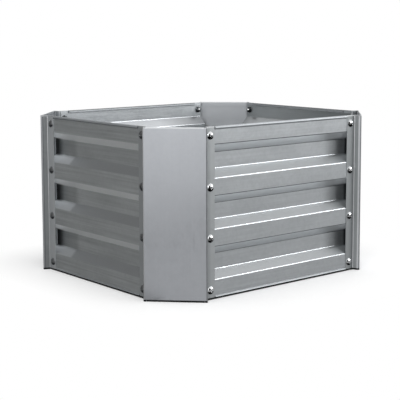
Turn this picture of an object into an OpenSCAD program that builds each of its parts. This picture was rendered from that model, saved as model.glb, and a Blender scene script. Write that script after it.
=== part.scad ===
// Raised garden bed: four fluted side panels of galvanised sheet, bolted to four
// bent corner pieces. It is open at the top and at the bottom.
// X runs along the long sides, Y along the short sides, and the front is at -Y.
// The origin is on the ground, at the centre of the bed.

/* [Bed] */
// Length over the corner pieces
bed_l = 538; // [440:2:720]
// Width over the corner pieces
bed_w = 478; // [400:2:640]
// Height
bed_h = 300; // [270:5:360]

/* [Sheet] */
// Thickness of the steel sheet
sheet_t = 0.8; // [0.6:0.1:1.1]

/* [Side panels] */
// Number of flutes in a panel
flute_n = 3; // [2:1:4]
// Depth of a flute, towards the inside
flute_depth = 15; // [11:0.5:18]
// Slope of a flute's two flanks, away from square to the panel
flute_slope = 45; // [35:1:52]
// Radius of a flute's bends at the middle of the sheet
flute_r = 3; // [2:0.2:4]
// Height of the land above the flutes
top_land = 31; // [28:0.5:36]
// Height of the land between two flutes
mid_land = 29.8; // [24:0.2:36]
// Height of the land below the flutes
bottom_land = 33.6; // [30:0.2:38]
// Diameter of the rolled bead along the top and the bottom
bead_d = 6; // [4:0.2:8]
// Gap between a bead's end and the corner piece
bead_gap = 0.8; // [0.4:0.1:2]
// Gap between a panel's end and the bend beside it
end_gap = 3; // [2:0.2:5]

/* [Corner pieces] */
// Width of the flat face
face_w = 112; // [90:1:130]
// Width of the wall that leads from the face back to the flange
return_w = 14; // [11:0.5:18]
// Width of the flange that is bolted to the panel
flange_w = 20.5; // [16:0.5:26]
// Radius of a corner piece's bends at the middle of the sheet
corner_r = 2.2; // [1.4:0.1:3]
// Thickness of the hem folded inwards at the face's top and bottom, from sheet to sheet
hem_w = 1.6; // [1.5:0.1:2.4]
// Height of the hem's folded leg
hem_h = 9; // [6:0.5:14]
// Distance of the hem's ends from the face's bends
hem_gap = 6; // [5:0.5:12]
// Width of the slit that frees the hem at each end
hem_slit = 0.6; // [0.4:0.1:1]

/* [Bolts and nuts] */
// Diameter of the bolts
bolt_d = 6; // [5:0.5:6.5]
// Length of the bolts under the head
bolt_l = 10; // [9:0.5:14]
// Distance of the bolts from the flange's free edge
bolt_edge = 9.5; // [8:0.5:11]
// Diameter of the clearance holes in the sheet
hole_d = 7; // [6.8:0.1:7.6]
// Diameter of the domed head
head_d = 14; // [11:0.5:15]
// Height of the domed head
head_h = 3.6; // [3:0.1:4.2]
// Height of the head's straight rim
head_rim = 0.7; // [0.4:0.1:1]
// Span of the cross recess in the head
recess_l = 6; // [4:0.2:7]
// Width of the recess's slots
recess_w = 1.1; // [0.8:0.1:1.5]
// Depth of the recess
recess_depth = 1.7; // [1:0.1:2.2]
// Width of a nut across its flats
nut_af = 10; // [9:0.5:11]
// Thickness of a nut
nut_t = 5; // [4:0.5:6]
// Difference in diameter between a nut's bore and its bolt
nut_clear = 0.1; // [0.05:0.05:0.2]
// Width of the chamfer on the bolts' ends
tip_chamfer = 0.7; // [0.4:0.1:1]

/* [Hidden] */

// Facets of round parts, and steps in one bend of the sheet
round_fn = 48;
bend_steps = 6;

panel_colour = "#a3a8ab";
corner_colour = "#adb1b5";
bolt_colour = "#d9dcde";

// The sides, in the order in which they turn round the bed, and the two ends of
// each side as seen from outside
side_names = ["front", "right", "back", "left"];
end_names = ["left", "right"];
quarter = 90;

// A corner's face cuts across it at half a quarter turn. The return wall then
// leans from square by half of that, so that its two bends are shared evenly.
face_a = quarter / 2;
return_a = face_a / 2;
// How far the face's bend stands out from the flange, and where the bends lie
// along the flange, counted from the point where a corner's two flanges would meet
stand_out = return_w * cos(return_a);
face_at = face_w * cos(face_a) - stand_out;
flange_at = face_at + return_w * sin(return_a);
flange_end = flange_at + flange_w;
bolt_at = flange_end - bolt_edge;
// The rounding of the face's bend takes this much off the sharp corner
sharp_turn = quarter + return_a;
round_loss = corner_r * cos(return_a / 2) / cos(sharp_turn / 2) - corner_r - sheet_t / 2;
// Where a corner's two flanges would meet, at the middle of the sheet
meet_x = bed_l / 2 + round_loss - stand_out;
meet_y = bed_w / 2 + round_loss - stand_out;

bead_r = bead_d / 2;
flute_rise = flute_depth * tan(flute_slope);
flute_mouth = (bed_h - top_land - bottom_land - mid_land * (flute_n - 1)) / flute_n;
flute_pitch = flute_mouth + mid_land;

// The fold of the hem is a little tighter than half its width, which leaves it a flat crown
fold_share = 0.9;
fold_r = hem_w / 2 * fold_share;
// Height at which the face's sheet gives way to the hem, one sheet's thickness under the fold
fold_z = bed_h - fold_r - 3 / 2 * sheet_t;

// Radius of the dome, from its height and its width
dome_h = head_h - head_rim;
dome_r = (pow(head_d / 2, 2) + pow(dome_h, 2)) / (2 * dome_h);
// Each next bolt and nut is turned by these angles, as a hand leaves them
recess_turn = 37;
nut_turn = 23;
// A nut's corners, the flat crown inside its chamfer, and the height of the chamfer
nut_r = nut_af / 2 / cos(30);
crown_share = 0.95;
crown_r = nut_af / 2 * crown_share;
nut_cone = (nut_r - crown_r) * tan(30);
// Overrun of a cut
over = sheet_t;

// Heights of the bolts: the middle of each land
function land_z(i) =
    i == 0 ? bottom_land / 2
    : i == flute_n ? bed_h - top_land / 2
    : bottom_land + i * flute_pitch - mid_land / 2;
bolt_heights = [for (i = [0 : flute_n]) land_z(i)];

// How many quarter turns bring the front to a side, whether that side lies along X,
// and on which side of its middle an end is
function turns(side) = search([side], side_names)[0];
function lies_along_x(side) = side == "front" || side == "back";
function hand(end) = end == "left" ? -1 : 1;

// Distance from the bed's centre to a side's panel, and half the distance along
// that side between the points where its flanges would meet those next to them
function panel_off(side) = (lies_along_x(side) ? meet_y : meet_x) - sheet_t;
function half_side(side) = lies_along_x(side) ? meet_x : meet_y;

// Vectors: one of unit length, one turned by an angle, and the turn from one to another
function unit(v) = v / norm(v);
function turned(v, a) = [v.x * cos(a) - v.y * sin(a), v.x * sin(a) + v.y * cos(a)];
function turn_between(v, w) = atan2(cross(v, w), v * w);

// One bend at q, between the straight from p and the straight to s. Its middle has
// the radius r, and its points lie off the middle by d, to the left of the way along it.
function bend(p, q, s, r, d) =
    let (along = unit(q - p),
         turn = turn_between(along, unit(s - q)),
         hand = sign(turn),
         aside = turned(along, quarter) * hand,
         centre = q - along * r * tan(abs(turn) / 2) + aside * r,
         arm = -aside * (r - hand * d))
    [for (i = [0 : bend_steps]) centre + turned(arm, turn * i / bend_steps)];

// One surface of a bent sheet whose middle follows the path
function surface_line(path, r, d) =
    let (last = len(path) - 1)
    concat(
        [path[0] + turned(unit(path[1] - path[0]), quarter) * d],
        [for (i = [1 : last - 1]) each bend(path[i - 1], path[i], path[i + 1], r, d)],
        [path[last] + turned(unit(path[last] - path[last - 1]), quarter) * d]);

function reversed(list) = [for (i = [len(list) - 1 : -1 : 0]) list[i]];

// The section of a bent sheet, as a closed outline
module sheet_section(path, r) {
    polygon(concat(
        surface_line(path, r, sheet_t / 2),
        reversed(surface_line(path, r, -sheet_t / 2))));
}

// The four corners of one flute, from below: inwards is +x in the section
function flute_path(i) =
    let (low = bottom_land + i * flute_pitch, high = low + flute_mouth)
    [[0, low], [flute_depth, low + flute_rise], [flute_depth, high - flute_rise], [0, high]];

// The middle line of a panel's sheet, from the ground to the top
panel_path = concat(
    [[0, 0]],
    [for (i = [0 : flute_n - 1]) each flute_path(i)],
    [[0, bed_h]]);

// The right half of a corner piece's middle line in plan, from the end of the face to
// the flange's free edge. The face lies along X here, with its middle at the origin.
face_end = [face_w / 2, 0];
flange_root = face_end + turned([return_w, 0], sharp_turn);
flange_tip = flange_root + turned([flange_w, 0], face_a);
bolt_place = flange_tip - turned([bolt_edge, 0], face_a);
corner_half = [face_end, flange_root, flange_tip];
corner_path = concat([for (p = reversed(corner_half)) [-p.x, p.y]], corner_half);

// The middle line of a hem: from inside the face's sheet up, over and down behind it
hem_path = [[0, fold_z - over], [0, bed_h - sheet_t / 2], [hem_w, bed_h - sheet_t / 2],
    [hem_w, bed_h - hem_h]];

// Places its children at a side, built there as the front one is: outwards is -Y
module at_side(side) {
    rotate([0, 0, quarter * turns(side)]) translate([0, -panel_off(side), 0]) children();
}

// Lays a section on its edge and draws it out along X, over both sides of the middle
module drawn_along_x(length) {
    rotate([quarter, 0, quarter]) translate([0, 0, -length / 2]) linear_extrude(length) children();
}

// A round bar along X, centred
module bar_along_x(d, length) {
    rotate([0, quarter, 0]) translate([0, 0, -length / 2]) cylinder(d = d, h = length, $fn = round_fn);
}

// Holes along Y at every bolt height, through the sheet at y = 0
module bolt_holes(x) {
    for (z = bolt_heights)
        translate([x, 0, z]) rotate([quarter, 0, 0])
            cylinder(d = hole_d, h = sheet_t + 2 * over, center = true, $fn = round_fn);
}

// A fluted panel with a rolled bead along its top and bottom. The beads stop short
// of the flanges, where the sheet runs on flat.
module panel(side) {
    panel_l = 2 * (half_side(side) - flange_at - end_gap);
    bead_l = 2 * (half_side(side) - flange_end - bead_gap);
    color(panel_colour)
    at_side(side) difference() {
        union() {
            drawn_along_x(panel_l) sheet_section(panel_path, flute_r);
            for (z = [bead_r, bed_h - bead_r]) translate([0, 0, z]) bar_along_x(bead_d, bead_l);
        }
        for (z = [bead_r, bed_h - bead_r])
            translate([0, 0, z]) bar_along_x(bead_d - 2 * sheet_t, bead_l);
        for (end = end_names) bolt_holes(hand(end) * (half_side(side) - bolt_at));
    }
}

// What comes off the top edge of a face that lies along X, where the hem's fold begins
module fold_cut(length) {
    translate([-length / 2, -sheet_t, fold_z]) cube([length, 2 * sheet_t, bed_h - fold_z + over]);
}

// The hem along the top of a face that lies along X, folded towards +Y
module hem(length) {
    drawn_along_x(length) sheet_section(hem_path, fold_r);
}

// Turns its children over, top to bottom
module upside_down() {
    translate([0, 0, bed_h]) mirror([0, 0, 1]) children();
}

// Its children, and their mirror image at the other half of a corner piece
module both_halves() {
    children();
    mirror([1, 0, 0]) children();
}

// The corner piece at the left end of a side, as seen from outside. It is the same
// in all four corners, turned to suit.
module corner_piece(side) {
    face_middle = (face_at - stand_out) / 2;
    hem_l = face_w - 2 * hem_gap;
    cut_l = hem_l + 2 * hem_slit;
    color(corner_colour)
    at_side(side) translate([face_middle - half_side(side), face_middle - sheet_t, 0])
    rotate([0, 0, -face_a]) {
        difference() {
            linear_extrude(bed_h) sheet_section(corner_path, corner_r);
            fold_cut(cut_l);
            upside_down() fold_cut(cut_l);
            both_halves() translate(bolt_place) rotate([0, 0, face_a]) bolt_holes(0);
        }
        hem(hem_l);
        upside_down() hem(hem_l);
    }
}

// A domed bolt along Z with its head's seat at z = 0 and its shank below
module bolt() {
    difference() {
        intersection() {
            cylinder(d = head_d, h = head_h, $fn = round_fn);
            translate([0, 0, head_h - dome_r]) sphere(dome_r, $fn = round_fn);
        }
        for (a = [0, quarter])
            rotate([0, 0, a]) translate([-recess_l / 2, -recess_w / 2, head_h - recess_depth])
                cube([recess_l, recess_w, recess_depth + over]);
    }
    translate([0, 0, tip_chamfer - bolt_l])
        cylinder(d = bolt_d, h = bolt_l - tip_chamfer, $fn = round_fn);
    translate([0, 0, -bolt_l])
        cylinder(d1 = bolt_d - 2 * tip_chamfer, d2 = bolt_d, h = tip_chamfer, $fn = round_fn);
}

// A hexagon nut along Z with its seat at z = 0 and its body below
module nut() {
    bore_d = bolt_d + nut_clear;
    translate([0, 0, -nut_t]) difference() {
        intersection() {
            cylinder(r = nut_r, h = nut_t, $fn = 6);
            rotate_extrude($fn = round_fn)
                polygon([[0, 0], [crown_r, 0], [nut_r, nut_cone], [nut_r, nut_t - nut_cone],
                    [crown_r, nut_t], [0, nut_t]]);
        }
        translate([0, 0, -over]) cylinder(d = bore_d, h = nut_t + 2 * over, $fn = round_fn);
    }
}

// Places its children at each bolt of one joint, with +Z outwards and z = 0 off the
// panel's middle by y. Each next one is turned on by an angle.
module at_bolts(side, end, y, turn) {
    at_side(side)
        for (i = [0 : len(bolt_heights) - 1])
            translate([hand(end) * (half_side(side) - bolt_at), y, bolt_heights[i]])
                rotate([quarter, 0, 0]) rotate([0, 0, turn * (i + turns(side))]) children();
}

// The bolts of one joint, seated on the flange
module bolts(side, end) {
    color(bolt_colour) at_bolts(side, end, -3 * sheet_t / 2, recess_turn) bolt();
}

// The nuts of one joint, seated on the inside of the panel
module nuts(side, end) {
    color(bolt_colour) at_bolts(side, end, sheet_t / 2, nut_turn) nut();
}

module front_panel() { panel("front"); }
module right_panel() { panel("right"); }
module back_panel() { panel("back"); }
module left_panel() { panel("left"); }

module front_left_corner() { corner_piece("front"); }
module front_right_corner() { corner_piece("right"); }
module back_right_corner() { corner_piece("back"); }
module back_left_corner() { corner_piece("left"); }

module front_panel_left_bolts() { bolts("front", "left"); }
module front_panel_right_bolts() { bolts("front", "right"); }
module right_panel_front_bolts() { bolts("right", "left"); }
module right_panel_back_bolts() { bolts("right", "right"); }
module back_panel_right_bolts() { bolts("back", "left"); }
module back_panel_left_bolts() { bolts("back", "right"); }
module left_panel_back_bolts() { bolts("left", "left"); }
module left_panel_front_bolts() { bolts("left", "right"); }

module front_panel_left_nuts() { nuts("front", "left"); }
module front_panel_right_nuts() { nuts("front", "right"); }
module right_panel_front_nuts() { nuts("right", "left"); }
module right_panel_back_nuts() { nuts("right", "right"); }
module back_panel_right_nuts() { nuts("back", "left"); }
module back_panel_left_nuts() { nuts("back", "right"); }
module left_panel_back_nuts() { nuts("left", "left"); }
module left_panel_front_nuts() { nuts("left", "right"); }

front_panel();
right_panel();
back_panel();
left_panel();
front_left_corner();
front_right_corner();
back_right_corner();
back_left_corner();
front_panel_left_bolts();
front_panel_right_bolts();
right_panel_front_bolts();
right_panel_back_bolts();
back_panel_right_bolts();
back_panel_left_bolts();
left_panel_back_bolts();
left_panel_front_bolts();
front_panel_left_nuts();
front_panel_right_nuts();
right_panel_front_nuts();
right_panel_back_nuts();
back_panel_right_nuts();
back_panel_left_nuts();
left_panel_back_nuts();
left_panel_front_nuts();
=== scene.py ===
"""Looks of a raised garden bed of galvanised sheet steel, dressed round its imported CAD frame.

The panels and corner pieces keep the frame's own solids and get their finish here. The
screws and nuts are built anew, with threads, chamfers and drawn-in cross recesses.
"""

import logging
import math
from dataclasses import dataclass, field
from enum import Enum

import bpy
import numpy as np
from mathutils import Matrix, Vector


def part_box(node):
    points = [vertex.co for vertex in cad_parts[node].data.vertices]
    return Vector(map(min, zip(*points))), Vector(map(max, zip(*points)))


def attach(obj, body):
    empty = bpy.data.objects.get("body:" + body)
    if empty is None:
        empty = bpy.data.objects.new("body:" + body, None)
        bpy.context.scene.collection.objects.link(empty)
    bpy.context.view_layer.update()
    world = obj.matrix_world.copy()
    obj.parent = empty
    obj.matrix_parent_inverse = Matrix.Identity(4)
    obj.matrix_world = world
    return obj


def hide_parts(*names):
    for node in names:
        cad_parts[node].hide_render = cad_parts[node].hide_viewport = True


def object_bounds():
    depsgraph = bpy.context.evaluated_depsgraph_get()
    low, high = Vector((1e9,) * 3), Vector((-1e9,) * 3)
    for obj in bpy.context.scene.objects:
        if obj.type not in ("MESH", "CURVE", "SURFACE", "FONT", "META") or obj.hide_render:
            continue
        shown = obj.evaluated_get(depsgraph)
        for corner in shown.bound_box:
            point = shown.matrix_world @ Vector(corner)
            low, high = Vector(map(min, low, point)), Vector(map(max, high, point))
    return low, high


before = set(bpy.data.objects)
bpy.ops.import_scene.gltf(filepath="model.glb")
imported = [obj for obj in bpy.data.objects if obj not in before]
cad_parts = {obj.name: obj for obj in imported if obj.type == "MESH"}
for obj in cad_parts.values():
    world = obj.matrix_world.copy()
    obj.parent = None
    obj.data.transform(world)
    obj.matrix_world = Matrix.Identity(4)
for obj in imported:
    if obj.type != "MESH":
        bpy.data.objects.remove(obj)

LOG = logging.getLogger("garden_bed")
CAD_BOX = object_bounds()
MM = 0.001
UP = (0.0, 0.0, 1.0)
WHITE = (1.0, 1.0, 1.0, 1.0)
TINY = 1e-6

Tree = bpy.types.NodeTree
Socket = bpy.types.NodeSocket
Colour = tuple[float, float, float, float]
Point = tuple[float, float, float]
Pair = tuple[float, float]


class Grain(Enum):
    """The way a sheet was rolled: the scale of its pattern along X, Y and Z.

    Along the rolling, a scale of 0.02 draws the pattern out to 50 times its width.
    """

    ALONG_X = (0.02, 1.0, 1.0)
    ALONG_Y = (1.0, 0.02, 1.0)
    UPRIGHT = (1.0, 1.0, 0.02)


class Side(Enum):
    """A side of the bed and the way its panel faces."""

    FRONT = (0.0, -1.0, 0.0)
    RIGHT = (1.0, 0.0, 0.0)
    BACK = (0.0, 1.0, 0.0)
    LEFT = (-1.0, 0.0, 0.0)


def linear(hex_colour: str) -> Colour:
    """Turns an sRGB hex colour to linear RGBA.

    Args:
        hex_colour: Six hex digits after a #.

    Returns:
        The linear colour with an alpha of 1.
    """
    parts = [int(hex_colour[i : i + 2], 16) / 255 for i in (1, 3, 5)]
    r, g, b = (p / 12.92 if p <= 0.04045 else ((p + 0.055) / 1.055) ** 2.4 for p in parts)
    return r, g, b, 1.0


def span(limits: Pair, unit: float = 1.0) -> dict[str, float]:
    """Gives where a mask starts and where it is full as a node's inputs, in the unit given."""
    return {"From Min": limits[0] * unit, "From Max": limits[1] * unit}


def add_node(
    tree: Tree, kind: str, inputs: dict | None = None, **settings: object
) -> bpy.types.Node:
    """Adds a node with its settings, input values and links.

    Args:
        tree: The node tree that takes it.
        kind: Its class name.
        inputs: A value or a linked output socket for each input, by name or number.
        settings: Its own properties.

    Returns:
        The new node.
    """
    node = tree.nodes.new(kind)
    for name, value in settings.items():
        setattr(node, name, value)
    for name, value in (inputs or {}).items():
        if isinstance(value, bpy.types.NodeSocket):
            tree.links.new(value, node.inputs[name])
        else:
            node.inputs[name].default_value = value
    return node


def varied(tree: Tree, mean: float, *patterns: tuple[Socket, float]) -> Socket:
    """Varies a value about its mean by patterns that run from 0 to 1.

    Args:
        tree: The node tree that takes the sum.
        mean: The value's mean.
        patterns: Each pattern, and how far it moves the value from end to end.

    Returns:
        The varied value.
    """
    value = mean - sum(share for _, share in patterns) / 2
    for pattern, share in patterns:
        value = add_node(tree, "ShaderNodeMath", {
            0: pattern, 1: share, 2: value}, operation="MULTIPLY_ADD").outputs[0]
    return value


def new_material(name: str) -> tuple[bpy.types.Material, Tree]:
    """Makes a material with an empty node tree.

    Args:
        name: Its name.

    Returns:
        The material and its tree.
    """
    material = bpy.data.materials.new(name)
    material.use_nodes = True
    material.node_tree.nodes.clear()
    return material, material.node_tree


class Spot:
    """Where on the bed a shaded point lies and which way it faces, as node outputs."""

    # The middle of the bed's height
    middle_mm: float = 150.0
    # How far a face looks away from the bed's upright axis, where it starts to be an outer one
    # and where it fully is
    outer_mm: Pair = (0.0, 40.0)

    def __init__(self, tree: Tree) -> None:
        """Adds the nodes to a tree."""
        coords = add_node(tree, "ShaderNodeTexCoord").outputs
        self.place, self.facing = coords["Object"], coords["Normal"]
        self.normal = add_node(tree, "ShaderNodeSeparateXYZ", {"Vector": self.facing}).outputs
        centred = add_node(tree, "ShaderNodeVectorMath", {
            0: self.place, 1: (0.0, 0.0, self.middle_mm * MM)}, operation="SUBTRACT").outputs[0]
        self.at = add_node(tree, "ShaderNodeSeparateXYZ", {"Vector": centred}).outputs
        self.far_out = add_node(
            tree, "ShaderNodeVectorMath", {0: centred}, operation="ABSOLUTE").outputs[0]
        self.reach = add_node(tree, "ShaderNodeSeparateXYZ", {"Vector": self.far_out}).outputs
        level = add_node(tree, "ShaderNodeVectorMath", {
            0: centred, 1: (1.0, 1.0, 0.0)}, operation="MULTIPLY").outputs[0]
        away = add_node(tree, "ShaderNodeVectorMath", {
            0: self.facing, 1: level}, operation="DOT_PRODUCT").outputs["Value"]
        self.outside = add_node(tree, "ShaderNodeMapRange", {
            "Value": away, **span(self.outer_mm, MM)}).outputs[0]
        self.inside = add_node(tree, "ShaderNodeMath", {
            0: 1.0, 1: self.outside}, operation="SUBTRACT").outputs[0]


@dataclass(frozen=True)
class Layer:
    """A tone that covers the zinc as far as its mask says, and may make it rougher."""

    mask: Socket
    tone: Socket | Colour
    rougher: float = 0.0


@dataclass(frozen=True)
class Zinc:
    """The bare zinc's tone and roughness, and the patterns that its relief needs."""

    tone: Socket
    sheen: Socket
    streaks: Socket
    flow: Socket


@dataclass(frozen=True)
class GalvanisedSheet:
    """Hot-dip galvanised steel sheet, passed through smoothing rolls and roll-formed.

    It gives the eye a satin, faintly blue grey: drawn-out roller streaks, small pale and
    dark zinc crystals, slow clouds, and painted shade in a dark line along the lower side
    of each bend. Painted light and shade also lie inside, underneath, on upward faces and
    at the foot. A lean is a pair of values of the normal's upward part: where a tone
    starts, and where it is full.
    """

    name: str
    grain: Grain
    colour: str = "#bdc1c4"
    dark: str = "#a9adb0"
    # Painted shade darkens the lower side of each bend
    painted_bend_shade: str = "#6f7376"
    painted_bend_shade_lean: Pair = (-0.1, -0.3)
    # Painted light brightens what slopes back underneath
    painted_underside_light: str = "#c4c8cb"
    painted_underside_light_lean: Pair = (-0.5, -0.68)
    # Painted shade darkens what faces up, outside fully and inside by this share
    painted_upward_shade: str = "#aaadaf"
    painted_upward_shade_lean: Pair = (0.52, 0.7)
    inner_upward_shade: float = 0.0
    # Painted shade darkens the ledges' far ends beside the corner piece; on the short panels it is
    # painted light
    painted_far_end_tone: str = "#979b9d"
    painted_far_end_tone_mm: Pair = (125.0, 150.0)
    # Painted light brightens the inside: by this share, and fully where it faces up
    painted_inner_light: str = "#cfd2d5"
    painted_inner_light_lean: Pair = (0.05, 0.35)
    painted_inner_light_share: float = 0.0
    # Painted contact shadow darkens the foot of every sheet, this high up
    painted_contact_shadow: str = "#17191a"
    foot_mm: float = 4.4
    foot_fade_mm: float = 1.0
    # Zinc that has lost its first shine lies between mirror steel, 0.1, and dull lead, 0.5
    roughness: float = 0.34
    streak_sheen: float = 0.1
    crystal_sheen: float = 0.08
    # The thin oxide skin scatters the rest
    metallic: float = 0.82
    # Roller streaks are some 0.3 mm apart. They are drawn 3.2 mm apart, or none would show
    streak_mm: float = 3.2
    streak_detail: float = 3.0
    # Zinc crystals of minimised spangle are 1 to 4 mm across, drawn 5 mm across to show
    crystal_mm: float = 5.0
    # Clouds, where the bath left the zinc thicker, are some 5 cm wide and drawn out a little
    cloud_mm: float = 55.0
    cloud_detail: float = 2.0
    cloud_drawn_share: float = 0.35
    # How far each pattern moves the tone between dark and pale, about its mean
    mean_tone: float = 0.6
    streak_share: float = 0.9
    crystal_share: float = 0.3
    cloud_share: float = 0.7
    # The sheet's slow waves, which the levelling rolls leave
    wave_mm: float = 90.0
    wave_detail: float = 1.0
    wave_height_mm: float = 0.5
    streak_height_mm: float = 0.012

    @property
    def along(self) -> str:
        """Names the axis along the panel."""
        return "X" if self.grain is Grain.ALONG_X else "Y"

    def zinc(self, tree: Tree, spot: Spot) -> Zinc:
        """Makes the bare zinc."""
        drawn = add_node(tree, "ShaderNodeVectorMath", {
            0: spot.place, 1: self.grain.value}, operation="MULTIPLY").outputs[0]
        flow = add_node(tree, "ShaderNodeMix", {
            "Factor": self.cloud_drawn_share, "A": spot.place, "B": drawn},
            data_type="VECTOR").outputs["Result"]
        streaks = add_node(tree, "ShaderNodeTexNoise", {
            "Vector": drawn, "Scale": 1 / (self.streak_mm * MM),
            "Detail": self.streak_detail}).outputs["Fac"]
        clouds = add_node(tree, "ShaderNodeTexNoise", {
            "Vector": flow, "Scale": 1 / (self.cloud_mm * MM),
            "Detail": self.cloud_detail}).outputs["Fac"]
        cells = add_node(tree, "ShaderNodeTexVoronoi", {
            "Vector": spot.place, "Scale": 1 / (self.crystal_mm * MM)}).outputs["Color"]
        crystals = add_node(tree, "ShaderNodeSeparateColor", {"Color": cells}).outputs
        paleness = varied(
            tree, self.mean_tone, (streaks, self.streak_share), (clouds, self.cloud_share),
            (crystals[0], self.crystal_share))
        tone = add_node(tree, "ShaderNodeMix", {
            "Factor": paleness, "A": linear(self.dark), "B": linear(self.colour)},
            data_type="RGBA").outputs["Result"]
        sheen = varied(
            tree, self.roughness, (streaks, self.streak_sheen), (crystals[1], self.crystal_sheen))
        return Zinc(tone, sheen, streaks, flow)

    def painted_inner_light_tone(self, tree: Tree, spot: Spot) -> Socket | Colour:
        """Gives the inside's painted light."""
        return linear(self.painted_inner_light)

    def painted_light_and_shade(self, tree: Tree, spot: Spot) -> list[Layer]:
        """Gives the painted light and shade that every sheet carries."""
        upward, hanging, not_hanging, lower, faces_up = (
            add_node(tree, "ShaderNodeMapRange", {
                "Value": spot.normal["Z"], "To Min": least, **span(lean)},
                interpolation_type="SMOOTHSTEP").outputs[0]
            for lean, least in (
                (self.painted_inner_light_lean, self.painted_inner_light_share), (self.painted_underside_light_lean, 0.0),
                (self.painted_underside_light_lean[::-1], 0.0), (self.painted_bend_shade_lean, 0.0), (self.painted_upward_shade_lean, 0.0)))
        open_air = add_node(tree, "ShaderNodeMath", {
            0: spot.outside, 1: self.inner_upward_shade}, operation="MAXIMUM").outputs[0]
        far_end = add_node(tree, "ShaderNodeMapRange", {
            "Value": spot.at[self.along], **span(self.painted_far_end_tone_mm, MM)}).outputs[0]
        inner_light_mask, bend, upward_shade, far_end_mask = (
            add_node(tree, "ShaderNodeMath", {
                0: mask, 1: other}, operation="MULTIPLY").outputs[0]
            for mask, other in (
                (spot.inside, upward), (lower, not_hanging), (faces_up, open_air),
                (far_end, spot.outside)))
        upward_painted_tone = add_node(tree, "ShaderNodeMix", {
            "Factor": far_end_mask, "A": linear(self.painted_upward_shade), "B": linear(self.painted_far_end_tone)},
            data_type="RGBA").outputs["Result"]
        # Painted light inside and underneath, painted shade on the bends' lower sides, on upward
        # faces and at the ledges' far ends
        return [
            Layer(inner_light_mask, self.painted_inner_light_tone(tree, spot)),
            Layer(hanging, linear(self.painted_underside_light)),
            Layer(bend, linear(self.painted_bend_shade)),
            Layer(upward_shade, upward_painted_tone),
        ]

    def marks(self, tree: Tree, spot: Spot) -> list[Layer]:
        """Gives what only this kind of sheet has. A plain sheet has nothing."""
        return []

    def foot(self, tree: Tree, spot: Spot) -> Layer:
        """Gives the painted contact shadow at the foot."""
        start = self.foot_mm - spot.middle_mm
        at_foot = add_node(tree, "ShaderNodeMapRange", {
            "Value": spot.at["Z"], **span((start, start - self.foot_fade_mm), MM)}).outputs[0]
        return Layer(at_foot, linear(self.painted_contact_shadow))

    def relief(self, tree: Tree, zinc: Zinc) -> Socket:
        """Gives the normal over the sheet's waves and streaks."""
        waves = add_node(tree, "ShaderNodeTexNoise", {
            "Vector": zinc.flow, "Scale": 1 / (self.wave_mm * MM),
            "Detail": self.wave_detail}).outputs["Fac"]
        wavy = add_node(tree, "ShaderNodeBump", {
            "Height": waves, "Distance": self.wave_height_mm * MM}).outputs[0]
        return add_node(tree, "ShaderNodeBump", {
            "Height": zinc.streaks, "Distance": self.streak_height_mm * MM,
            "Normal": wavy}).outputs[0]

    def material(self) -> bpy.types.Material:
        """Makes the sheet's material, with each layer laid over the ones before."""
        material, tree = new_material(self.name)
        spot = Spot(tree)
        zinc = self.zinc(tree, spot)
        skin, sheen = zinc.tone, zinc.sheen
        for layer in (*self.painted_light_and_shade(tree, spot), *self.marks(tree, spot), self.foot(tree, spot)):
            skin = add_node(tree, "ShaderNodeMix", {
                "Factor": layer.mask, "A": skin, "B": layer.tone},
                data_type="RGBA").outputs["Result"]
            if layer.rougher:
                sheen = add_node(tree, "ShaderNodeMath", {
                    0: layer.mask, 1: layer.rougher, 2: sheen},
                    operation="MULTIPLY_ADD").outputs[0]
        shader = add_node(tree, "ShaderNodeBsdfPrincipled", {
            "Base Color": skin, "Metallic": self.metallic, "Roughness": sheen,
            "Normal": self.relief(tree, zinc)})
        add_node(tree, "ShaderNodeOutputMaterial", {"Surface": shader.outputs[0]})
        return material


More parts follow.
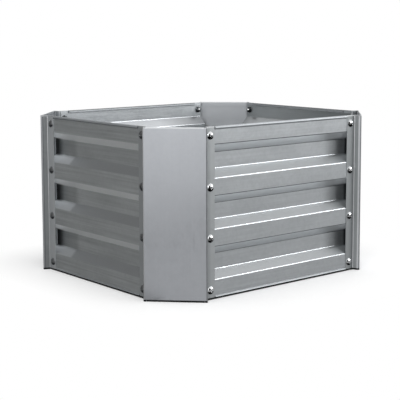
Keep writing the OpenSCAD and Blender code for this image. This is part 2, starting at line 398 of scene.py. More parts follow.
@dataclass(frozen=True)
class PanelSheet(GalvanisedSheet):
    """The sheet of a fluted panel. Its places are measured from the middle of the bed."""

    # Along the panel, painted shade darkens more and more of the inside
    painted_inner_shade: str = "#94979a"
    painted_inner_shade_mm: Pair = (62.0, 168.0)
    # Painted shadow darkens the flutes at one end, beside the corner piece: softly, then fully
    painted_end_shadow: str = "#2c2f32"
    soft_end_mm: Pair = (113.0, 148.0)
    soft_share: float = 0.5
    full_end_mm: Pair = (171.0, 180.0)
    valley_mm: float = 213.0
    valley_fade_mm: float = 3.5
    # The rolled bead along the top and bottom is rubbed dull. Painted shade darkens it below,
    # outside, and above, inside
    bead_colour: str = "#b4b8bb"
    painted_bead_underside_shade: str = "#85898c"
    painted_bead_underside_shade_lean: Pair = (0.0, -0.35)
    bead_inside: str = "#c0c4c7"
    painted_bead_inner_top_shade: str = "#84888a"
    bead_top_lean: Pair = (0.1, 0.45)
    bead_from_mm: float = 144.0
    bead_fade_mm: float = 0.8
    bead_rougher: float = 0.25

    def painted_inner_light_tone(self, tree: Tree, spot: Spot) -> Socket | Colour:
        """Gives the inside's painted light, which turns to painted shade towards one end."""
        painted_inner_shade = add_node(tree, "ShaderNodeMapRange", {
            "Value": spot.at[self.along], **span(self.painted_inner_shade_mm, MM)}).outputs[0]
        return add_node(tree, "ShaderNodeMix", {
            "Factor": painted_inner_shade, "A": linear(self.painted_inner_light), "B": linear(self.painted_inner_shade)},
            data_type="RGBA").outputs["Result"]

    def flute_ends(self, tree: Tree, spot: Spot) -> Layer:
        """Gives the painted shadow at the flutes' ends, outside."""
        along = spot.at[self.along]
        across = spot.reach["Y" if self.along == "X" else "X"]
        soft = add_node(tree, "ShaderNodeMapRange", {
            "Value": along, "To Max": self.soft_share, **span(self.soft_end_mm, MM)},
            interpolation_type="SMOOTHSTEP").outputs[0]
        end = add_node(tree, "ShaderNodeMapRange", {
            "Value": along, "To Min": soft, **span(self.full_end_mm, MM)},
            interpolation_type="SMOOTHSTEP").outputs[0]
        deep = add_node(tree, "ShaderNodeMapRange", {
            "Value": across, **span((self.valley_mm + self.valley_fade_mm, self.valley_mm), MM)})
        shaded = end
        for mask in (deep.outputs[0], spot.outside):
            shaded = add_node(tree, "ShaderNodeMath", {
                0: shaded, 1: mask}, operation="MULTIPLY").outputs[0]
        return Layer(shaded, linear(self.painted_end_shadow))

    def beads(self, tree: Tree, spot: Spot) -> Layer:
        """Gives the beads along the top and bottom, with painted shade on their undersides outside
        and on their tops inside.
        """
        on_bead = add_node(tree, "ShaderNodeMapRange", {
            "Value": spot.reach["Z"],
            **span((self.bead_from_mm, self.bead_from_mm + self.bead_fade_mm), MM)}).outputs[0]
        tones = []
        for lean, start, end in (
            (self.bead_top_lean, self.bead_inside, self.painted_bead_inner_top_shade),
            (self.painted_bead_underside_shade_lean, self.bead_colour, self.painted_bead_underside_shade),
        ):
            turned = add_node(tree, "ShaderNodeMapRange", {
                "Value": spot.normal["Z"], **span(lean)},
                interpolation_type="SMOOTHSTEP").outputs[0]
            tones.append(add_node(tree, "ShaderNodeMix", {
                "Factor": turned, "A": linear(start), "B": linear(end)},
                data_type="RGBA").outputs["Result"])
        bead = add_node(tree, "ShaderNodeMix", {
            "Factor": spot.outside, "A": tones[0], "B": tones[1]},
            data_type="RGBA").outputs["Result"]
        return Layer(on_bead, bead, self.bead_rougher)

    def marks(self, tree: Tree, spot: Spot) -> list[Layer]:
        """Gives the flutes' painted shadow at one end, and the beads."""
        return [self.flute_ends(tree, spot), self.beads(tree, spot)]


@dataclass(frozen=True)
class CornerSheet(GalvanisedSheet):
    """The sheet of a corner piece, with painted light and shade on its flanges, walls and folds.

    Its masks tell faces by the product of the normal's level parts, which is 0.5 square to
    the corner's diagonal, and by how far out along that diagonal they lie.
    """

    # Painted shade on the flanges and return walls, with painted light on the short flanges behind
    # and deeper painted shade on the long flanges to the right and at their roots
    flange: str = "#b3b7b9"
    flange_root: str = "#7f8385"
    painted_short_flange_light: str = "#d6d9db"
    right_flange: str = "#a2a6a8"
    wall: str = "#a6aaac"
    wall_turn: Pair = (0.12, 0.24)
    broad_turn: Pair = (0.36, 0.46)
    # Painted highlight on the folds where light reaches them, painted shade where it does not
    fold: str = "#eceef0"
    shaded_fold: str = "#8b8e91"
    root_mm: Pair = (283.5, 296.5)
    broad_at_mm: float = 299.9
    # Painted highlight on the cut sheet and the hem along the top and bottom
    painted_rim_highlight: str = "#cdd0d2"
    rim_from_mm: float = 147.6

    def painted_flange_tone(self, tree: Tree, spot: Spot, long_side: Socket, across: Socket) -> Socket:
        """Gives the flanges' painted light and shade, which differ round the bed.

        Args:
            tree: The node tree that takes it.
            spot: The shaded point.
            long_side: Whether the face looks the long panels' way.
            across: How far out along the corner's diagonal the point lies.

        Returns:
            The tone.
        """
        to_right, behind = (
            add_node(tree, "ShaderNodeMath", {
                0: spot.at[axis], 1: 0.0}, operation="GREATER_THAN").outputs[0]
            for axis in ("X", "Y"))
        near_root = add_node(tree, "ShaderNodeMapRange", {
            "Value": across, **span(self.root_mm, MM)}).outputs[0]
        on_short = add_node(tree, "ShaderNodeMix", {
            "Factor": behind, "A": linear(self.flange), "B": linear(self.painted_short_flange_light)},
            data_type="RGBA").outputs["Result"]
        on_long = linear(self.flange)
        for mask, tone in ((to_right, self.right_flange), (near_root, self.flange_root)):
            on_long = add_node(tree, "ShaderNodeMix", {
                "Factor": mask, "A": on_long, "B": linear(tone)},
                data_type="RGBA").outputs["Result"]
        return add_node(tree, "ShaderNodeMix", {
            "Factor": long_side, "A": on_short, "B": on_long},
            data_type="RGBA").outputs["Result"]

    def marks(self, tree: Tree, spot: Spot) -> list[Layer]:
        """Gives the flanges, walls, folds and rims, with their painted light and shade."""
        turned = add_node(
            tree, "ShaderNodeVectorMath", {0: spot.facing}, operation="ABSOLUTE").outputs[0]
        turned = add_node(tree, "ShaderNodeSeparateXYZ", {"Vector": turned}).outputs
        slanted = add_node(tree, "ShaderNodeMath", {
            0: turned["X"], 1: turned["Y"]}, operation="MULTIPLY").outputs[0]
        long_side = add_node(tree, "ShaderNodeMath", {
            0: turned["Y"], 1: turned["X"]}, operation="GREATER_THAN").outputs[0]
        across = add_node(tree, "ShaderNodeVectorMath", {
            0: spot.far_out, 1: (math.sqrt(0.5), math.sqrt(0.5), 0.0)},
            operation="DOT_PRODUCT").outputs["Value"]
        on_wall = add_node(tree, "ShaderNodeMapRange", {
            "Value": slanted, **span(self.wall_turn)}).outputs[0]
        flange = add_node(tree, "ShaderNodeMix", {
            "Factor": on_wall, "A": self.painted_flange_tone(tree, spot, long_side, across),
            "B": linear(self.wall)}, data_type="RGBA").outputs["Result"]
        broad = add_node(tree, "ShaderNodeMapRange", {
            "Value": slanted, **span(self.broad_turn)}).outputs[0]
        not_broad = add_node(tree, "ShaderNodeMath", {
            0: 1.0, 1: broad}, operation="SUBTRACT").outputs[0]
        outer = add_node(tree, "ShaderNodeMath", {
            0: across, 1: self.broad_at_mm * MM}, operation="GREATER_THAN").outputs[0]
        # Diagonal at the flanges' roots, and not diagonal at the broad face's sides
        root, side = (
            add_node(tree, "ShaderNodeMath", {
                0: mask, 1: other}, operation="SUBTRACT", use_clamp=True).outputs[0]
            for mask, other in ((broad, outer), (outer, broad)))
        behind = add_node(tree, "ShaderNodeMath", {
            0: spot.normal["Y"], 1: 0.0}, operation="GREATER_THAN").outputs[0]
        unlit = add_node(tree, "ShaderNodeMath", {
            0: long_side, 1: behind}, operation="MAXIMUM").outputs[0]
        fold = add_node(tree, "ShaderNodeMix", {
            "Factor": unlit, "A": linear(self.fold), "B": linear(self.shaded_fold)},
            data_type="RGBA").outputs["Result"]
        rim = add_node(tree, "ShaderNodeMath", {
            0: spot.reach["Z"], 1: self.rim_from_mm * MM}, operation="GREATER_THAN").outputs[0]
        # Painted light and shade on flanges, walls and folds, and painted highlight at the
        # flanges' roots and on the rims
        return [
            Layer(not_broad, flange),
            Layer(side, fold),
            Layer(root, linear(self.fold)),
            Layer(rim, linear(self.painted_rim_highlight)),
        ]


@dataclass(frozen=True)
class PlatedSteel:
    """Steel of a cold-formed fastener, nickel-plated in a barrel.

    It gives the eye a smooth, more or less mirror-like skin with a soft ripple, and painted
    shade on the lower side.
    """

    name: str
    colour: str = "#f2f3f4"
    dark: str = "#d3d6d8"
    painted_lower_shade: str = "#101214"
    # Values of the normal's upward part where the painted shade starts and where it is full
    painted_lower_shade_lean: Pair = (-0.06, -0.26)
    roughness: float = 0.1
    dimple_sheen: float = 0.1
    # Knocks in the plating barrel leave dimples of about 0.5 mm, drawn 1.2 mm wide to show
    dimple_mm: float = 1.2
    dimple_detail: float = 2.0
    dimple_height_mm: float = 0.02

    def material(self) -> bpy.types.Material:
        """Makes the fasteners' material."""
        material, tree = new_material(self.name)
        place = add_node(tree, "ShaderNodeTexCoord").outputs
        dimples = add_node(tree, "ShaderNodeTexNoise", {
            "Vector": place["Object"], "Scale": 1 / (self.dimple_mm * MM),
            "Detail": self.dimple_detail}).outputs["Fac"]
        plating = add_node(tree, "ShaderNodeMix", {
            "Factor": dimples, "A": linear(self.dark), "B": linear(self.colour)},
            data_type="RGBA").outputs["Result"]
        normal = add_node(tree, "ShaderNodeSeparateXYZ", {"Vector": place["Normal"]}).outputs
        lower = add_node(tree, "ShaderNodeMapRange", {
            "Value": normal["Z"], **span(self.painted_lower_shade_lean)},
            interpolation_type="SMOOTHSTEP").outputs[0]
        skin = add_node(tree, "ShaderNodeMix", {
            "Factor": lower, "A": plating, "B": linear(self.painted_lower_shade)},
            data_type="RGBA").outputs["Result"]
        relief = add_node(tree, "ShaderNodeBump", {
            "Height": dimples, "Distance": self.dimple_height_mm * MM}).outputs[0]
        shader = add_node(tree, "ShaderNodeBsdfPrincipled", {
            "Base Color": skin, "Metallic": 1.0,
            "Roughness": varied(tree, self.roughness, (dimples, self.dimple_sheen)),
            "Normal": relief})
        add_node(tree, "ShaderNodeOutputMaterial", {"Surface": shader.outputs[0]})
        return material


LONG_PANEL = PanelSheet("galvanised_sheet_rolled_along_x", Grain.ALONG_X)
SHORT_PANEL = PanelSheet(
    "galvanised_sheet_rolled_along_y", Grain.ALONG_Y, colour="#c5c9ca", dark="#a1a5a6",
    painted_bend_shade="#c4c8c9", painted_underside_light="#f1f3f3", inner_upward_shade=1.0, painted_far_end_tone="#c6c9cb", painted_far_end_tone_mm=(80.0, 88.0),
    painted_inner_light="#bfc3c4", painted_inner_light_share=0.75, painted_inner_shade="#838788", painted_inner_shade_mm=(80.0, -140.0),
    painted_end_shadow="#1c1e20", soft_end_mm=(72.0, 90.0), soft_share=0.24, full_end_mm=(121.0, 146.0),
    valley_mm=243.0, valley_fade_mm=3.0, streak_share=1.4, crystal_share=0.12)
CORNER = CornerSheet(
    "galvanised_sheet_rolled_upright", Grain.UPRIGHT, colour="#bdc0c5", dark="#b6b9be",
    painted_inner_light_share=0.65, foot_mm=3.8, streak_share=0.6)
PLATED = PlatedSteel("nickel_plated_steel_cold_headed")
# A darker, rougher copy for the left side's screws: its darker tones are painted shade
ROUGH_SHADED = PlatedSteel(
    "nickel_plated_steel_cold_headed_dulled", colour="#b8babc", dark="#9c9fa1", painted_lower_shade="#66696c",
    roughness=0.3)
# The nuts are painted dark all over: painted shade
SHADE_DARK_NUTS = PlatedSteel("shade_darkened_steel_cold_formed", colour="#6c7073", dark="#2a2c2e")


def ring(radii: np.ndarray, heights: np.ndarray | float, angles: np.ndarray) -> np.ndarray:
    """Gives the points of one closed ring about Z.

    Args:
        radii: The radius at each angle.
        heights: The height at each angle, or one for all.
        angles: The angles in radians.

    Returns:
        The points, one row each.
    """
    heights = np.broadcast_to(heights, angles.shape)
    return np.column_stack((radii * np.cos(angles), radii * np.sin(angles), heights))


@dataclass
class Shells:
    """A mesh that is put together from closed shells, each drawn through rings of points."""

    points: list = field(default_factory=list)
    faces: list = field(default_factory=list)

    def add(self, rings: list[np.ndarray], turn: Matrix, closed: bool = False) -> None:
        """Adds one shell.

        Args:
            rings: Rings of equal length, in order along the shell.
            turn: Where the shell goes.
            closed: Whether the last ring joins the first, as round a bore. If not, each
                end is drawn to the middle of its ring.
        """
        start, size = len(self.points), len(rings[0])
        spots = np.vstack(rings)
        steps = [(j, (j + 1) % size) for j in range(size)]
        for i in range(len(rings) if closed else len(rings) - 1):
            a, b = start + i * size, start + (i + 1) % len(rings) * size
            self.faces.extend((a + j, a + k, b + k, b + j) for j, k in steps)
        if not closed:
            end = start + len(spots)
            last = end - size
            self.faces.extend((end, start + k, start + j) for j, k in steps)
            self.faces.extend((end + 1, last + j, last + k) for j, k in steps)
            spots = np.vstack((spots, rings[0].mean(0), rings[-1].mean(0)))
        self.points.extend(turn @ Vector(spot) for spot in spots)

    def build(self, name: str, smooth_below: float = 32.0) -> bpy.types.Object:
        """Makes the object.

        Args:
            name: Its name.
            smooth_below: Edges that turn less than this, in degrees, look round.

        Returns:
            The new object.
        """
        mesh = bpy.data.meshes.new(name)
        mesh.from_pydata([tuple(p) for p in self.points], [], self.faces)
        mesh.validate()
        mesh.shade_smooth()
        mesh.set_sharp_from_angle(angle=math.radians(smooth_below))
        piece = bpy.data.objects.new(name, mesh)
        bpy.context.scene.collection.objects.link(piece)
        return piece


@dataclass
class SheetPart:
    """A panel or corner piece, which keeps the frame's solid and gets its finish."""

    node: str
    finish: bpy.types.Material
    # The frame's bends are drawn in steps of 7.5 degrees
    round_below: float = 20.0
    # Vertices that are closer than this are one
    weld_mm: float = 0.01

    def dress(self) -> None:
        """Gives the solid its finish and shades its bends as round ones."""
        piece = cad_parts[self.node]
        for slot in piece.material_slots:
            slot.material = self.finish
        self.smooth_bends(piece.data)

    def smooth_bends(self, mesh: bpy.types.Mesh) -> None:
        """Turns the mesh's normals, and leaves its vertices as they are.

        Each corner of a face takes the mean normal, weighted by area, of the faces that
        meet at the same point and lean from it by less than the limit.

        Args:
            mesh: The solid's mesh.
        """
        normals = np.array([face.normal for face in mesh.polygons])
        areas = np.array([face.area for face in mesh.polygons])
        points = np.array([vertex.co for vertex in mesh.vertices])
        corners = np.array([corner.vertex_index for corner in mesh.loops])
        spots = np.round(points / (self.weld_mm * MM)).astype(np.int64)
        spot_of = np.unique(spots, axis=0, return_inverse=True)[1].ravel()[corners]
        face_of = np.repeat(np.arange(len(areas)), [face.loop_total for face in mesh.polygons])
        order = np.argsort(spot_of, kind="stable")
        starts = np.flatnonzero(np.diff(spot_of[order], prepend=-1))
        nearest = math.cos(math.radians(self.round_below))
        smooth = np.empty((len(corners), 3))
        for group in np.split(order, starts[1:]):
            faces = face_of[group]
            alike = normals[faces] @ normals[faces].T > nearest
            smooth[group] = (alike * areas[faces]) @ normals[faces]
        smooth /= np.linalg.norm(smooth, axis=1, keepdims=True)
        mesh.normals_split_custom_set(smooth.tolist())


@dataclass
class FastenerRow:
    """The four fasteners of one bolted joint, set where the frame's own ones are."""

    node: str
    finish: bpy.types.Material
    slot: str
    # Vertices further apart in height than this belong to two fasteners
    apart_mm: float = 8.0

    def side(self) -> Side:
        """Tells which side of the bed the row is on."""
        return Side[self.node.split("_")[0].upper()]

    def heights(self) -> list[float]:
        """Finds the height of each fastener's axis, in metres."""
        levels = sorted({round(v.co.z, 6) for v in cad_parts[self.node].data.vertices})
        groups = [[levels[0]]]
        for level in levels[1:]:
            if level - groups[-1][-1] > self.apart_mm * MM:
                groups.append([])
            groups[-1].append(level)
        return [(group[0] + group[-1]) / 2 for group in groups]

    def places(self, seat: float, turn_step: float) -> list[Matrix]:
        """Finds where each fastener goes, with its own +Z outwards.

        Args:
            seat: The seat's distance inwards from the node's outer face, in metres.
            turn_step: The turn of each next fastener about its axis, in degrees.

        Returns:
            A matrix for each fastener, from millimetres to the frame.
        """
        low, high = (Vector(corner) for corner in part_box(self.node))
        out = Vector(self.side().value)
        middle = (low + high) / 2
        reach = abs((high - low) @ out) / 2
        base = middle + out * (reach - seat)
        across = Vector(UP).cross(out)
        axes = Matrix((across, UP, out)).transposed().to_4x4()
        placed = []
        for i, height in enumerate(self.heights()):
            spin = Matrix.Rotation(math.radians(turn_step * i), 4, "Z")
            spot = Matrix.Translation((base.x, base.y, height))
            placed.append(spot @ axes @ spin @ Matrix.Scale(MM, 4))
        return placed

    def finish_piece(self, shells: Shells) -> bpy.types.Object:
        """Makes the row's piece, hangs it on the root and hides the frame's own fasteners.

        Args:
            shells: The fasteners' shells.

        Returns:
            The new piece.
        """
        piece = shells.build(self.node + "_formed")
        piece.data.materials.append(self.finish)
        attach(piece, "root")
        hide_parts(self.node)
        return piece


@dataclass
class ScrewRow(FastenerRow):
    """Machine screws with a low dome, a cross recess and a rolled thread. Sizes are in mm."""

    head_d: float = 14.0
    head_h: float = 3.6
    rim_h: float = 0.7
    rim_round: float = 0.25
    rim_angles: tuple[float, ...] = (20, 45, 70, 90)
    # The rim's lower edge is cut off by this share of its rounding
    rim_cut_share: float = 0.3
    # The dome ends this far inside the rim, and its rings lie at these shares of the way
    dome_inset: float = 0.12
    dome_steps: tuple[float, ...] = (0.12, 0.28, 0.46, 0.64, 0.8, 0.92, 1.0)
    recess_l: float = 6.0
    recess_w: float = 1.15
    recess_depth: float = 1.7
    recess_taper: float = 0.62
    # Corners between two arms are filled, to this many times half an arm's width
    recess_fill: float = 1.75
    recess_angles: tuple[float, ...] = (
        -45, -36, -28, -21, -16, -12.5, -10.5, -7, 0, 7, 10.5, 12.5, 16, 21, 28, 36)
    # The floor dips in the middle, over this share of its width
    dip: float = 0.2
    dip_share: float = 0.2
    # The walls belly out by the first share of their taper at the second share of their height
    belly: Pair = (0.3, 0.35)
    # The punch draws the edge in: from outside the outline to inside it, this far down
    lip: Pair = (1.04, 0.97)
    lip_drop: float = 0.1
    # The head's underside ends inside the shank, which starts inside the head
    seat_r: float = 1.5
    root_h: float = 0.4
    thread_d: float = 5.92
    thread_depth: float = 0.55
    pitch: float = 1.0
    # A ridge's flanks rise this many times its depth over a pitch, with crest and root cut flat
    flank_slope: float = 3.2
    flank_start: float = 0.3
    plain_l: float = 1.5
    length: float = 10.0
    point: float = 0.7
    turn_step: float = 37.0
    steps_per_turn: int = 24
    steps_per_pitch: int = 6

    def recess_radii(self, angles: np.ndarray) -> np.ndarray:
        """Gives the recess's outline: a cross of four arms with filled inner corners."""
        half = self.recess_w / 2
        a = np.abs((angles + math.pi / 4) % (math.pi / 2) - math.pi / 4)
        arm = np.minimum(half / np.maximum(np.sin(a), TINY), self.recess_l / 2 / np.cos(a))
        return np.maximum(arm, half * self.recess_fill)

    def head(self) -> list[np.ndarray]:
        """Draws the head's rings, from the recess's floor over the dome to the seat."""
        arm = np.array(self.recess_angles)
        angles = np.radians(np.concatenate([arm + 90 * quarter for quarter in range(4)]))
        rim_r = self.head_d / 2
        dome_h = self.head_h - self.rim_h
        dome_r = (rim_r**2 + dome_h**2) / (2 * dome_h)

        def dome(radii: np.ndarray) -> np.ndarray:
            """Gives the dome's height at each radius."""
            return self.head_h - dome_r + np.sqrt(dome_r**2 - radii**2)

        cross = self.recess_radii(angles)
        floor = self.head_h - self.recess_depth
        belly_out, belly_up = self.belly
        belly = self.recess_taper + (1 - self.recess_taper) * belly_out
        start, inner = (cross * share for share in self.lip)
        rings = [
            ring(cross * self.dip_share, floor - self.dip, angles),
            ring(cross * self.recess_taper, floor, angles),
            ring(cross * belly, floor + self.recess_depth * belly_up, angles),
            ring(inner, dome(cross) - self.lip_drop, angles),
            ring(start, dome(start), angles),
        ]
        for share in self.dome_steps:
            radii = start * (1 - share) + (rim_r - self.dome_inset) * share
            rings.append(ring(radii, dome(radii), angles))
        r = self.rim_round
        cut = r * self.rim_cut_share
        turns = [math.radians(angle) for angle in self.rim_angles]
        edge = [(rim_r - r * (1 - math.sin(t)), self.rim_h - r + r * math.cos(t)) for t in turns]
        edge += [(rim_r, r), (rim_r - cut, cut), (rim_r - r, 0.0), (self.seat_r, 0.0)]
        rings.extend(ring(np.full_like(angles, radius), up, angles) for radius, up in edge)
        return rings

    def shank(self) -> list[np.ndarray]:
        """Draws the shank's rings, from inside the head down the thread to the point."""
        angles = np.linspace(0, 2 * math.pi, self.steps_per_turn, endpoint=False)
        crest = self.thread_d / 2
        pitch_r = crest - self.thread_depth / 2
        plain = np.full_like(angles, pitch_r)
        rings = [ring(plain, self.root_h, angles), ring(plain, -self.plain_l, angles)]
        count = round((self.length - self.plain_l) / self.pitch * self.steps_per_pitch)
        for i in range(1, count + 1):
            depth = self.plain_l + (self.length - self.plain_l) * i / count
            wave = (depth / self.pitch + angles / (2 * math.pi)) % 1.0
            flank = self.flank_slope * (0.5 - np.abs(wave - 0.5)) - self.flank_start
            ridge = np.clip(flank, 0.0, 1.0)
            run_in = min(1.0, (depth - self.plain_l) / self.pitch)
            radii = pitch_r + self.thread_depth * (ridge - 0.5) * run_in
            tip = self.length - depth
            radii = np.minimum(radii, crest - self.point + tip)
            rings.append(ring(radii, -depth, angles))
        return rings

    def build(self) -> bpy.types.Object:
        """Builds the row's screws."""
        shells = Shells()
        head, shank = self.head(), self.shank()
        low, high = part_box(self.node)
        reach = abs((Vector(high) - Vector(low)) @ Vector(self.side().value))
        for place in self.places(reach - self.length * MM, self.turn_step):
            shells.add(head, place)
            shells.add(shank, place)
        return self.finish_piece(shells)


@dataclass
class NutRow(FastenerRow):
    """Hexagon nuts with a round flange at the seat and a countersunk bore. Sizes are in mm."""

    across_flats: float = 10.0
    height: float = 5.0
    bore_d: float = 6.1
    crown_share: float = 0.95
    chamfer_angle: float = 30.0
    sink: float = 0.45
    flange_d: float = 13.2
    flange_rim: float = 0.45
    flange_h: float = 1.5
    # Small bevels: at the seat, on the rim (inwards and down), at the hexagon's foot, and
    # where the chamfer meets it (inwards and down)
    seat_bevel: float = 0.1
    rim_bevel: Pair = (0.12, 0.08)
    foot_bevel: float = 0.12
    chamfer_bevel: Pair = (0.05, 0.06)
    flat_angles: tuple[float, ...] = (-30, -29, -24, -18, -12, -6, 0, 6, 12, 18, 24, 29)
    turn_step: float = 23.0

    def profile(self) -> list[np.ndarray]:
        """Draws the nut's rings, round its bore and back, with its seat at z = 0."""
        flat_angles = np.array(self.flat_angles)
        angles = np.radians(np.concatenate([flat_angles + 60 * k for k in range(6)]))
        flat = self.across_flats / 2
        a = (angles + math.pi / 6) % (math.pi / 3) - math.pi / 6
        hexagon = flat / np.cos(a)
        crown = flat * self.crown_share
        slope = math.tan(math.radians(self.chamfer_angle))
        bore = self.bore_d / 2
        rim = self.flange_d / 2
        whole = np.ones_like(angles)
        # The chamfer's cone cuts the six corners in curved lines
        drop = (hexagon - crown) * slope
        h = self.height
        bevel_in, bevel_down = self.rim_bevel
        corner_in, corner_down = self.chamfer_bevel
        return [
            ring(whole * bore, -self.sink, angles),
            ring(whole * (bore + self.sink), 0.0, angles),
            ring(whole * (rim - self.seat_bevel), 0.0, angles),
            ring(whole * rim, -self.seat_bevel, angles),
            ring(whole * rim, -self.flange_rim, angles),
            ring(whole * (rim - bevel_in), -self.flange_rim - bevel_down, angles),
            ring(hexagon + self.foot_bevel, -self.flange_h, angles),
            ring(hexagon, -self.flange_h - self.foot_bevel, angles),
            ring(hexagon, -h + drop + corner_down, angles),
            ring(hexagon - corner_in, -h + drop, angles),
            ring(whole * crown, -h, angles),
            ring(whole * (bore + self.sink), -h, angles),
            ring(whole * bore, -h + self.sink, angles),
        ]

    def build(self) -> bpy.types.Object:
        """Builds the row's nuts."""
        shells = Shells()
        profile = self.profile()
        for place in self.places(0.0, self.turn_step):
            shells.add(profile, place, closed=True)
        return self.finish_piece(shells)


def standing(start: Pair, end: Pair, height: float) -> tuple[Point, ...]:
    """Gives the corners of a card that stands on the floor between two places."""
    return (*start, 0.0), (*end, 0.0), (*end, height), (*start, height)


def lying(level: float, *corners: Pair) -> tuple[Point, ...]:
    """Gives the corners of a card that lies at a level just above the floor."""
    return tuple((x, y, level) for x, y in corners)


@dataclass(frozen=True)
class Lamp:
    """A soft rectangular light. Sizes are in metres, the power in watts."""

    name: str
    place: Point
    target: Point
    size: Pair
    power: float

    def build(self) -> None:
        """Hangs the light."""
        data = bpy.data.lights.new(self.name, "AREA")
        data.shape = "RECTANGLE"
        data.size, data.size_y = self.size
        data.energy = self.power
        lamp = bpy.data.objects.new(self.name, data)
        way = Vector(self.target) - Vector(self.place)
        turn = way.to_track_quat("-Z", "Y").to_matrix().to_4x4()
        lamp.matrix_world = Matrix.Translation(self.place) @ turn
        bpy.context.scene.collection.objects.link(lamp)


@dataclass(frozen=True)
class Card:
    """Grey card that only the metal's reflections see."""

    name: str
    shade: str
    quads: tuple[tuple[Point, ...], ...]

    def build(self) -> None:
        """Sets up the card."""
        mesh = bpy.data.meshes.new(self.name)
        corners = [corner for quad in self.quads for corner in quad]
        faces = [tuple(range(i, i + 4)) for i in range(0, len(corners), 4)]
        mesh.from_pydata(corners, [], faces)
        card = bpy.data.objects.new(self.name, mesh)
        material, tree = new_material(self.name + "_paper")
        glow = add_node(tree, "ShaderNodeEmission", {"Color": linear(self.shade)})
        add_node(tree, "ShaderNodeOutputMaterial", {"Surface": glow.outputs[0]})
        mesh.materials.append(material)
        for ray in ("camera", "diffuse", "shadow", "transmission", "volume_scatter"):
            setattr(card, "visible_" + ray, False)
        bpy.context.scene.collection.objects.link(card)


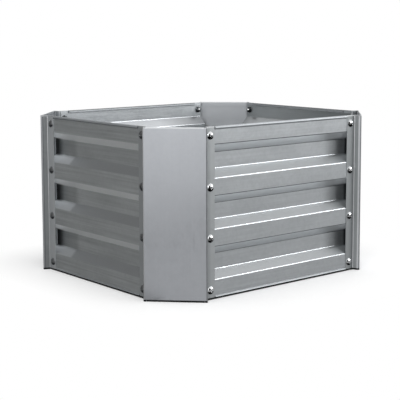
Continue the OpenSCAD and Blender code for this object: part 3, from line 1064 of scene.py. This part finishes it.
@dataclass
class Studio:
    """The camera, the pale floor, the surroundings, the cards and the soft lights."""

    eye: Point = (-1.3484, -1.6086, 0.4692)
    yaw: float = 39.807
    pitch: float = 6.587
    roll: float = 0.163
    focal_px: float = 1076.5
    picture_px: float = 400.0
    axis_above_middle_px: float = 50.0
    sensor_mm: float = 36.0
    floor_colour: str = "#f7f7f7"
    floor_half: float = 30.0
    # The floor fades to white round a box of the bed's plan about this middle, between these
    # distances from it, in metres
    fade_middle: Point = (0.05, -0.01, 0.0)
    fade: Pair = (-0.005, 0.15)
    sky_light: float = 1.0
    cards: tuple[Card, ...] = (
        Card("dark_card", "#6e6e6e", (
            standing((-1.42, -0.1), (-0.1, 1.0), 1.8),
            lying(0.002, (-1.3, -0.2), (-0.255, -0.2), (-0.255, 0.9), (-1.3, 0.9)),
            standing((-1.42, -0.1), (-1.42, -0.55), 0.9),
            lying(0.002, (-1.42, -0.55), (-0.5, -0.45), (-0.5, -0.2), (-1.42, -0.2)))),
        Card("strip_card", "#2c2c2c", (
            standing((-1.0, -1.9), (0.15, -1.9), 1.2),
            lying(0.002, (-0.8, -1.9), (0.0, -1.9), (0.0, -0.5), (-0.8, -0.5)))),
        Card("right_card", "#505050", (
            standing((1.9, 0.0), (1.0, 1.7), 0.8),
            lying(0.003, (0.6, 0.0), (1.9, 0.0), (1.9, 1.7), (0.6, 1.7)))),
        Card("front_card", "#a8a8a8", (standing((0.2, -1.8), (2.0, -0.5), 0.4),)),
        Card("low_card", "#aaaaaa", (
            lying(0.001, (-1.18, -1.6), (1.6, -1.6), (1.6, 1.6), (-1.18, 1.6)),)),
    )
    lamps: tuple[Lamp, ...] = (
        Lamp("key_light", (1.35, -1.5, 1.1), (0.0, 0.0, 0.2), (0.35, 0.35), 6.0),
        Lamp("wide_light", (1.35, -1.6, 0.82), (0.0, 0.0, 0.25), (1.4, 0.6), 12.0),
        Lamp("front_light", (-1.35, -1.2, 0.9), (0.0, 0.0, 0.25), (0.9, 0.5), 5.0),
    )

    def build_camera(self) -> None:
        """Sets up the camera at the photograph's viewing angle."""
        data = bpy.data.cameras.new("camera")
        data.sensor_width = self.sensor_mm
        data.lens = self.sensor_mm * self.focal_px / self.picture_px
        data.shift_y = -self.axis_above_middle_px / self.picture_px
        camera = bpy.data.objects.new("camera", data)
        place = Matrix.Translation(self.eye)
        for angle, axis in ((-self.yaw, "Z"), (90.0 - self.pitch, "X"), (-self.roll, "Z")):
            place @= Matrix.Rotation(math.radians(angle), 4, axis)
        camera.matrix_world = place
        bpy.context.scene.collection.objects.link(camera)
        bpy.context.scene.camera = camera

    def white_rays(self, tree: Tree) -> Socket:
        """Tells which rays see plain white: the camera's, and those off metal or through glass.

        Args:
            tree: The node tree that asks.

        Returns:
            A socket that is 1 for them and 0 for the rest.
        """
        path = add_node(tree, "ShaderNodeLightPath").outputs
        seen = path["Is Camera Ray"]
        for ray in ("Is Glossy Ray", "Is Transmission Ray"):
            seen = add_node(tree, "ShaderNodeMath", {
                0: seen, 1: path[ray]}, operation="ADD", use_clamp=True).outputs[0]
        return seen

    def build_floor(self) -> None:
        """Lays the floor, which fades to plain white far from the bed."""
        mesh = bpy.data.meshes.new("floor")
        r = self.floor_half
        mesh.from_pydata([(-r, -r, 0), (r, -r, 0), (r, r, 0), (-r, r, 0)], [], [(0, 1, 2, 3)])
        floor = bpy.data.objects.new("floor", mesh)
        material, tree = new_material("matt_white_board")
        board = add_node(tree, "ShaderNodeBsdfDiffuse", {"Color": linear(self.floor_colour)})
        white = add_node(tree, "ShaderNodeEmission", {"Color": WHITE})
        spot = add_node(tree, "ShaderNodeTexCoord").outputs["Object"]
        half_plan = (CAD_BOX[1][0], CAD_BOX[1][1], 0.0)
        for operation, inputs in (
            ("SUBTRACT", {1: self.fade_middle}), ("ABSOLUTE", {}),
            ("SUBTRACT", {1: half_plan}), ("MAXIMUM", {1: (0.0, 0.0, 0.0)}),
        ):
            spot = add_node(tree, "ShaderNodeVectorMath", {
                0: spot, **inputs}, operation=operation).outputs[0]
        reach = add_node(tree, "ShaderNodeVectorMath", {0: spot}, operation="LENGTH")
        far = add_node(tree, "ShaderNodeMapRange", {
            "Value": reach.outputs["Value"], **span(self.fade)}).outputs[0]
        fade = add_node(tree, "ShaderNodeMath", {
            0: far, 1: self.white_rays(tree)}, operation="MULTIPLY").outputs[0]
        mix = add_node(tree, "ShaderNodeMixShader", {
            0: fade, 1: board.outputs[0], 2: white.outputs[0]})
        add_node(tree, "ShaderNodeOutputMaterial", {"Surface": mix.outputs[0]})
        mesh.materials.append(material)
        bpy.context.scene.collection.objects.link(floor)

    def build_world(self) -> None:
        """Sets the white surroundings and the light that they give."""
        world = bpy.data.worlds.new("white_surroundings")
        world.use_nodes = True
        tree = world.node_tree
        tree.nodes.clear()
        light = add_node(tree, "ShaderNodeBackground", {
            "Color": WHITE, "Strength": self.sky_light})
        white = add_node(tree, "ShaderNodeBackground", {"Color": WHITE})
        mix = add_node(tree, "ShaderNodeMixShader", {
            0: self.white_rays(tree), 1: light.outputs[0], 2: white.outputs[0]})
        add_node(tree, "ShaderNodeOutputWorld", {"Surface": mix.outputs[0]})
        bpy.context.scene.world = world

    def build(self) -> None:
        """Sets up the whole studio."""
        self.build_camera()
        self.build_floor()
        self.build_world()
        for piece in (*self.cards, *self.lamps):
            piece.build()


def main() -> None:
    """Sets up the studio, then dresses or builds each part of the bed and reports it."""
    logging.basicConfig(level=logging.INFO, format="%(name)s: %(message)s")
    bpy.context.scene.view_settings.view_transform = "Standard"
    Studio().build()
    LOG.info("studio set up")
    along_x, along_y, upright, plated, rough_shaded, shade_dark_nuts = (
        finish.material() for finish in (LONG_PANEL, SHORT_PANEL, CORNER, PLATED, ROUGH_SHADED, SHADE_DARK_NUTS))
    for name in list(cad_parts):
        if name.endswith("_bolts"):
            ScrewRow(name, rough_shaded if name.startswith("left") else plated, "bolts").build()
        elif name.endswith("_nuts"):
            NutRow(name, shade_dark_nuts, "nuts").build()
        elif name.endswith("_corner"):
            SheetPart(name, upright).dress()
        elif name in ("front_panel", "back_panel"):
            SheetPart(name, along_x).dress()
        else:
            SheetPart(name, along_y).dress()
        LOG.info("%s finished", name)


if __name__ == "__main__":
    main()
